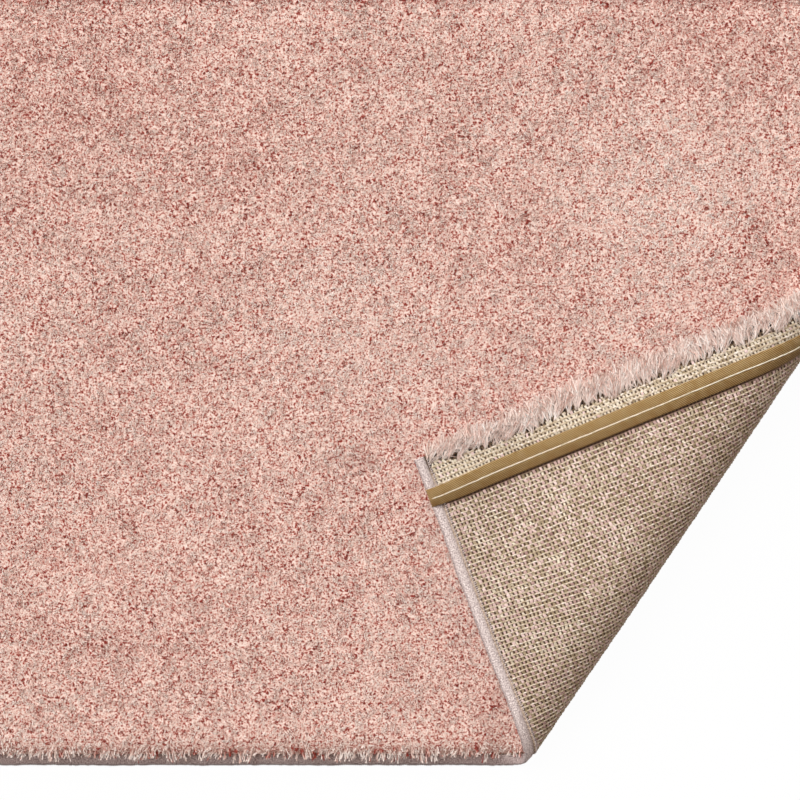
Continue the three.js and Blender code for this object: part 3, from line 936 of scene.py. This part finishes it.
def make_pile(material, rng):
    """A fibre is a narrow triangle from near its tuft's root to a tip that leans with the tuft and
    strays from it; half of them stand on their point, so that their broad end shows. Its
    shading follows the cloth, tilted a little at random, as a bloomed strand's does. The lower
    a fibre ends, the darker its tone: painted shade. In a parting the fibres are lower, broader
    and closer together, and darker, which is painted shade too. At the borders they end at any
    height, and are paler down to the root: painted light, against the shade between them there."""
    x, y = tufts(rng)
    parted = parting(x, y)
    lean_x, lean_y = tuft_lean(x, y, rng)
    tone = tuft_tone(x, y, parted, rng)
    from_side = SELVEDGE - np.abs(y)
    from_end = HALF - np.abs(x)
    tall = FULL - 0.4 - 2 * np.exp(-from_side / 4) - 2.5 * np.exp(-from_end / 8)
    tall += 0.5 * smooth_noise(x, y, 16, 25) - 0.8 * parted
    border = np.minimum(from_side, from_end)
    spread = 0.7 + 9 * np.exp(-border / 2.5)
    # Painted light: fibres near the borders are paler, down to the root, against the shade between them
    # there
    tone += (0.25 + 0.5 * parted) * np.exp(-border / 5)
    root_v = 0.02 + 0.5 * np.exp(-border / 5)

    shape = (len(x), BLADES)
    x, y, lean_x, lean_y, tall, tone, spread, parted, root_v = (
        v[:, None] for v in (x, y, lean_x, lean_y, tall, tone, spread, parted, root_v)
    )
    root_x = x + rng.uniform(-1.6, 1.6, shape)
    root_y = y + rng.uniform(-1.4, 1.4, shape)
    close = 1 - 0.5 * parted
    strays = [rng.normal(0, 1.3, shape) * close, rng.normal(0, 1.0, shape) * close]
    tip_x = np.clip(x + lean_x + strays[0] + strays[1], -HALF - 10, HALF + 10)
    tip_y = np.clip(y + lean_y + strays[0] - strays[1], -SELVEDGE - 8, SELVEDGE + 8)
    drop = rng.random(shape)
    height = tall - spread * drop
    root_depth = np.minimum(bed_depth(root_x, root_y) - 0.8, height - 3)
    # Painted shade: the lower a fibre ends, the darker its tone
    tone = tone + 0.3 * (0.5 - drop) + rng.normal(0, 0.18, shape)
    tone = np.clip(tone - 0.65 * (rng.random(shape) < 0.17), 0.03, 0.97)
    way = np.arctan2(tip_y - root_y, tip_x - root_x) + math.pi / 2 + rng.normal(0, 0.5, shape)
    half_width = rng.uniform(0.32, 0.58, shape) * (1 + 0.8 * parted)
    blunt = rng.random(shape) < 0.5
    tip = tip_x, tip_y, height, 0.98
    root = root_x, root_y, root_depth, root_v
    aside = half_width * np.cos(way), half_width * np.sin(way), 0, 0
    corners = []
    for at_tip, at_root, step in zip(tip, root, aside):
        broad, point = np.where(blunt, at_tip, at_root), np.where(blunt, at_root, at_tip)
        corners.append(np.stack([broad - step, broad + step, point], axis=-1))
    *corners, map_v = corners
    map_u = tone[..., None] + np.array([-0.012, 0.012, 0])

    order = np.argsort(np.broadcast_to(x, shape).ravel(), kind="stable")
    points = place(*corners).reshape(-1, 3, 3)[order]
    maps = np.stack([map_u, map_v], axis=-1).reshape(-1, 3, 2)[order]
    upright = unit(place(x, y, FULL) - place(x, y, GROUND))
    upright = np.repeat(upright, BLADES, axis=1).reshape(-1, 3)[order]
    turned = np.cross(points[:, 1] - points[:, 0], points[:, 2] - points[:, 0])
    away = (turned * upright).sum(axis=1) < 0
    points[away] = points[away][:, ::-1]
    maps[away] = maps[away][:, ::-1]
    normals = unit(upright + rng.normal(0, 0.09, upright.shape))
    normals = np.repeat(normals, 3, axis=0).reshape(-1, 3, 3)

    pieces = []
    for n, share in enumerate(np.array_split(np.arange(len(points)), PILE_PIECES)):
        faces = np.arange(len(share) * 3).reshape(-1, 3)
        pieces.append(mesh_piece(
            f"cut_pile_{n + 1}", points[share].reshape(-1, 3), faces, material,
            {"OFBake": maps[share]}, normals[share].reshape(-1, 3),
        ))
    return pieces


def ribbons(name, sign, line_x, line_y, line_depth, half_width, tone, material, normals=None):
    """Fibres as ribbons of given half width along lines of the flat rug, given as arrays of one
    shape (fibres, places along). Their map carries the tone across and the place along up it.
    With normals, one for each point, the faces are turned to the side that those are on."""
    points = np.stack([
        place(sign * line_x, line_y + side * half_width, line_depth + 0.1 * side) for side in (-1, 1)
    ], axis=2).reshape(-1, 3)
    faces = grid_faces(*line_x.shape, 2)
    height = np.linspace(0.03, 0.97, line_x.shape[1])
    u = tone[:, None, None] + np.array([-0.012, 0.012, 0.012, -0.012])
    v = np.stack([height[:-1], height[:-1], height[1:], height[1:]], axis=-1)[None]
    maps = np.stack(np.broadcast_arrays(u, v), axis=-1).reshape(-1, 4, 2)
    if normals is not None:
        a, b, c = (points[faces[:, i]] for i in range(3))
        away = (np.cross(b - a, c - a) * normals[faces[:, 0]]).sum(axis=1) < 0
        faces[away], maps[away] = faces[away][:, ::-1], maps[away][:, ::-1]
    return mesh_piece(name, points, faces, material, {"OFBake": maps}, normals)


def bezier(share, *controls):
    """A point of a cubic Bezier curve: the controls weighed by the four Bernstein terms."""
    rest = 1 - share
    weights = rest ** 3, 3 * share * rest ** 2, 3 * share ** 2 * rest, share ** 3
    return sum(w * c for w, c in zip(weights, controls))


def make_fluff(name, sign, material, rng):
    """Long fibres at a short end, from the last rows of tufts: each swings out past the hem's edge
    and droops."""
    count = 2500
    share = np.linspace(0, 1, 4)
    y = rng.uniform(-SELVEDGE, SELVEDGE, (count, 1))
    tuft = smooth_noise(y, 0 * y, 8, 51) + 0.5 * smooth_noise(y, 0 * y, 3.5, 52)
    out = rng.uniform(3, 10, (count, 1)) + 1.5 * tuft
    start = rng.uniform(3, 16, (count, 1))
    end = start * rng.uniform(0.1, 0.8, (count, 1)) - 1
    line_x = bezier(share, HALF - 4 + 0 * y, HALF + 0.3 * out, HALF + 0.8 * out, HALF + out)
    line_depth = bezier(share, start, start + 2, start + 1, end)
    line_y = y + (rng.normal(0, 3.5, (count, 1)) + 3 * smooth_noise(y, 0 * y, 14, 53)) * share ** 1.5
    line_y = np.clip(line_y, -SELVEDGE - 4, SELVEDGE + 4)
    half_width = rng.uniform(0.4, 0.65, (count, 1)) * (1 - 0.75 * share ** 2)
    tone = np.clip(0.55 + 0.12 * tuft + rng.normal(0, 0.25, (count, 1)), 0.03, 0.97)[:, 0]
    return ribbons(name, sign, line_x, line_y, line_depth, half_width, tone, material)


def make_brushed_ends(material, rng):
    """On the folded corner the last tufts are brushed over the hem. The inner tufts lie in low arcs
    across it, their fibres close together at the root, so that dark partings show, and fanned
    at the tip. The tufts nearer the edge are short and stand every way, as the pile does."""
    columns = np.arange(-SELVEDGE + 1, SHOWN_TO - 2, 1.2 * COLUMN)
    rows = np.arange(6) * 3.2
    tuft_in, tuft_y = (v.reshape(-1, 1) for v in np.meshgrid(rows, columns, indexing="ij"))
    tuft_y = tuft_y + rng.normal(0, 1.1, tuft_y.shape)
    tuft_x = fringe_line(tuft_y) + tuft_in + rng.normal(0, 1.0, tuft_y.shape)
    t, q = fold_coordinates(tuft_x, tuft_y)
    keep = ((q + bend_at(t)[0] > 25) & (tuft_x < HALF + 2))[:, 0]
    tuft_x, tuft_y, tuft_in = tuft_x[keep], tuft_y[keep], tuft_in[keep]
    outer = smoothstep(tuft_in, 3, 9)
    turn = 0.5 * smooth_noise(tuft_y, tuft_x, 16, 56) + 1.25 * np.exp(-(tuft_y + SELVEDGE) / 90)
    turn = turn + rng.normal(0, 0.2, tuft_x.shape) * (1 + outer)
    tone_of = 0.54 - 0.1 * outer + rng.normal(0, 0.12, tuft_x.shape)

    shape = (len(tuft_x), 9)
    column = lambda value: np.broadcast_to(value, shape).reshape(-1, 1)
    fan = column(turn + rng.normal(0, 0.22, shape) * (1 + 1.2 * outer))
    root_x = column(tuft_x + rng.normal(0, 0.5, shape) * (1 + 1.5 * outer))
    root_y = column(tuft_y + rng.normal(0, 0.4, shape) * (1 + 2 * outer))
    tone = column(tone_of + rng.normal(0, 0.2, shape))
    share = np.linspace(0, 1, 4)
    long = 1 + 0.3 * smooth_noise(tuft_y, tuft_x, 11, 57)
    long = column(long * rng.uniform(12, 23, shape) * (1 - 0.4 * outer))
    bow = column(rng.normal(1, 3, shape))
    line_x = root_x + long * np.cos(fan) * share
    line_y = root_y + long * np.sin(fan) * share + bow * share ** 2
    line_y = np.maximum(line_y, -SELVEDGE - 3)
    rise = column(rng.uniform(0.8, 4, shape) + outer * rng.uniform(0, 3, shape))
    hang = rng.uniform(0, 8, root_x.shape) * smoothstep(line_x, HALF - 1, HALF + 6)
    line_depth = hang - HEM_THICKNESS - rise * np.sin(0.75 * math.pi * share)
    half_width = column(rng.uniform(0.26, 0.42, shape) + 0.1 * outer) * (1 - 0.5 * share ** 2)
    outward = unit(place(line_x, line_y, -5) - place(line_x, line_y, 0))
    normals = unit(outward + rng.normal(0, 0.25, (len(line_x), 1, 3)))
    normals = np.repeat(normals[:, :, None], 2, axis=2).reshape(-1, 3)
    return ribbons("brushed_ends", 1, line_x, line_y, line_depth, half_width,
                   np.clip(tone[:, 0], 0.03, 0.97), material, normals)


# ---- the object ----
def main():
    make_camera()
    make_surroundings()
    bpy.context.scene.view_settings.view_transform = "Standard"
    rng = np.random.default_rng(484)

    ground = make_ground(woven_material())
    bed = make_bed(bed_material())
    wefts = make_wefts(weft_material())
    knots = make_knots(knot_material(), rng)
    pile_finish, fringe = pile_material(), fringe_material()
    pile = make_pile(pile_finish, rng)
    fluff = [make_fluff("end_fluff_right", 1, pile_finish, rng),
             make_fluff("end_fluff_left", -1, pile_finish, rng),
             make_brushed_ends(fringe, rng)]
    yarn = yarn_material()
    front = make_binding("overcast_front", -1, yarn)
    back = make_binding("overcast_back", 1, yarn)
    bites = [make_bites("overcast_bites_front", -1, yarn, rng),
             make_bites("overcast_bites_back", 1, yarn, rng)]
    twill, thread = twill_material(), stitch_material()
    tapes = [make_tape("hem_tape_right", 1, twill), make_tape("hem_tape_left", -1, twill)]
    stitches = [make_stitches("stitches_right", 1, thread, rng),
                make_stitches("stitches_left", -1, thread, rng)]

    slots = {
        "woven_back": [ground, wefts, knots],
        "pile": [bed, *pile, *fluff],
        "binding_yarn": [front, back, *bites],
        "twill_tape": tapes,
        "stitch_thread": stitches,
    }
    for slot, pieces in slots.items():
        for piece in pieces:
            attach(piece, "root")
    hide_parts("rug")
    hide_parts("edge_binding_front")
    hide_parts("edge_binding_back")
    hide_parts("end_tape_right")
    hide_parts("end_tape_left")


main()
